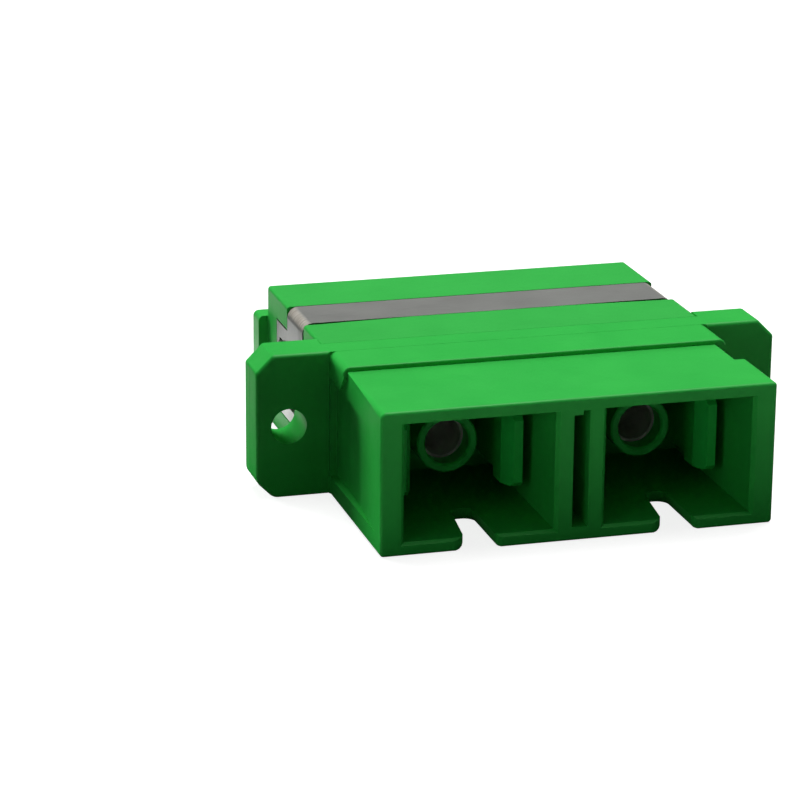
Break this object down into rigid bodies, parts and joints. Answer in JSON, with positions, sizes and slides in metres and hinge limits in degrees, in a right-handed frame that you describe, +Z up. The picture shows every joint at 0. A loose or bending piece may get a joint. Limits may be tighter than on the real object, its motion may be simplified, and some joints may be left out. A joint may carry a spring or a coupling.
{
  "type": "sc fibre adapter",
  "caption": "Flat green plastic coupler housing with side-by-side keyed plug sockets front and rear, a flange with screw holes and a sprung metal panel clip.",
  "frame": {"origin": "middle of the panel seat, on the rear face of the flange, half way between the screw holes", "axes": "+X across the ports, +Y along the fibres from the front mouths to the rear ones, +Z up, away from the side the plug keys are on"},
  "size_m": [0.0346, 0.0297, 0.0094],
  "materials": {
    "moulding_green": "satin moulded",
    "holder_green": "satin moulded",
    "sleeve_ceramic": "ground",
    "clip_steel": "rolled"
  },
  "bodies": {
    "root": {"front_housing": "moulding_green", "rear_housing": "moulding_green", "sleeve_holder_front_left": "holder_green", "sleeve_holder_front_right": "holder_green", "sleeve_holder_rear_left": "holder_green", "sleeve_holder_rear_right": "holder_green", "alignment_sleeve_left": "sleeve_ceramic", "alignment_sleeve_right": "sleeve_ceramic", "panel_clip": "clip_steel"}
  },
  "joints": []
}
